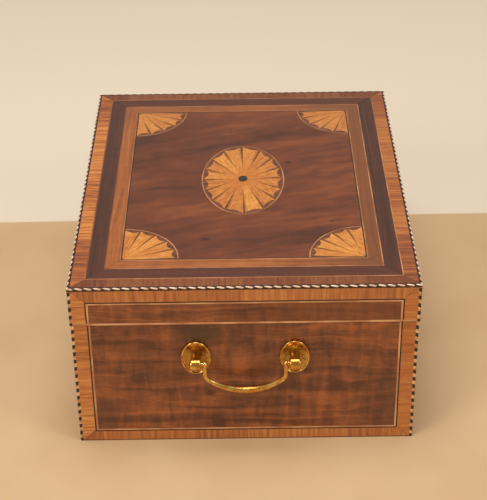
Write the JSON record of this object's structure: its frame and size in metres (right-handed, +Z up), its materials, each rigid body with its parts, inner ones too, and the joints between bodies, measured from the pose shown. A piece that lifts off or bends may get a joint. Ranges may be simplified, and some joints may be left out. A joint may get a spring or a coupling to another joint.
{
  "type": "inlaid box",
  "caption": "Oblong veneered box with a hinged lid, a fan patera and corner fans inlaid in banded borders, and a swinging brass bail handle at each end.",
  "frame": {"origin": "middle of the carcass on the surface that the box stands on, midway between its ends and between its front and back", "axes": "+X along the box to the near handle, +Y from the lock side to the hinge side, +Z up"},
  "size_m": [0.315, 0.2423, 0.133],
  "materials": {
    "carcass": "plain red-brown mahogany, thin oil finish",
    "deal": "old deal with a dusty, dry surface",
    "mahogany": "french-polished mahogany veneer, mottled and a little worn",
    "field_mahogany": "french-polished mahogany veneer with a broad dark figure",
    "tulipwood": "polished cross-grained banding, orange brown with darker streaks",
    "rosewood": "polished dark band, cross-grained",
    "satinwood": "polished satinwood, warm orange",
    "sand_shaded_satinwood": "satinwood petals, each burnt dark along one side in hot sand",
    "ebonised_line": "dyed black line, polished",
    "boxwood": "pale line, polished",
    "chequer_stringing": "blocks of black and pale wood in turn",
    "rope_stringing": "pale and black slips laid aslant like a twisted rope",
    "lining_paper": "faded blue-grey sugar paper on card",
    "brass": "polished brass with darker patina in the hollows",
    "iron": "dull worked iron"
  },
  "bodies": {
    "box": {"carcass_front": "carcass", "carcass_back": "carcass", "carcass_near_end": "carcass", "carcass_far_end": "carcass", "base_board": "deal", "body_rim_facings": "mahogany", "panel_front": "mahogany", "panel_back": "mahogany", "panel_near_end": "mahogany", "panel_far_end": "mahogany", "body_lining": "lining_paper", "body_crossbands": "tulipwood", "body_dark_lines": "ebonised_line", "body_light_lines": "boxwood", "body_corner_stringing": "chequer_stringing", "hinge_body_leaves": "brass", "lock_case": "brass", "keyhole_escutcheon": "brass", "near_handle_plates": "brass", "near_handle_posts": "brass", "far_handle_plates": "brass", "far_handle_posts": "brass", "lock_cap": "brass", "hinge_pins": "iron", "hinge_body_screws": "iron", "lock_screws": "iron", "handle_nuts": "iron"},
    "lid": {"lid_wall_front": "carcass", "lid_wall_back": "carcass", "lid_wall_near_end": "carcass", "lid_wall_far_end": "carcass", "lid_board": "deal", "lid_rim_facings": "mahogany", "lid_side_panels": "mahogany", "fan_ground": "mahogany", "top_field": "field_mahogany", "lid_lining": "lining_paper", "lid_side_crossbands": "tulipwood", "top_crossband": "tulipwood", "top_dark_band": "rosewood", "top_satin_band": "satinwood", "patera_petals": "sand_shaded_satinwood", "corner_fan_petals": "sand_shaded_satinwood", "lid_side_dark_lines": "ebonised_line", "top_dark_line": "ebonised_line", "patera_boss": "ebonised_line", "lid_side_light_lines": "boxwood", "lid_rim_line": "boxwood", "top_light_lines": "boxwood", "fan_lines": "boxwood", "lid_corner_stringing": "chequer_stringing", "rope_stringing": "rope_stringing", "hinge_lid_leaves": "brass", "lock_link_plate": "brass", "hinge_lid_screws": "iron", "link_plate_screws": "iron"},
    "near_bail": {"near_handle_bail": "brass"},
    "far_bail": {"far_handle_bail": "brass"},
    "bolt": {"lock_bolt": "iron"}
  },
  "joints": [
    {"name": "lid_hinge", "type": "hinge", "parent": "box", "child": "lid", "pos_m": [0, 0.12, 0.1023], "axis": [-1, 0, 0], "range_deg": [0, 95]},
    {"name": "near_handle_swing", "type": "hinge", "parent": "box", "child": "near_bail", "pos_m": [0.153, 0, 0.075], "axis": [0, -1, 0], "range_deg": [-12, 168]},
    {"name": "far_handle_swing", "type": "hinge", "parent": "box", "child": "far_bail", "pos_m": [-0.153, 0, 0.075], "axis": [0, 1, 0], "range_deg": [-12, 168]},
    {"name": "bolt_slide", "type": "slide", "parent": "box", "child": "bolt", "axis": [1, 0, 0], "range_m": [0, 0.004]}
  ]
}
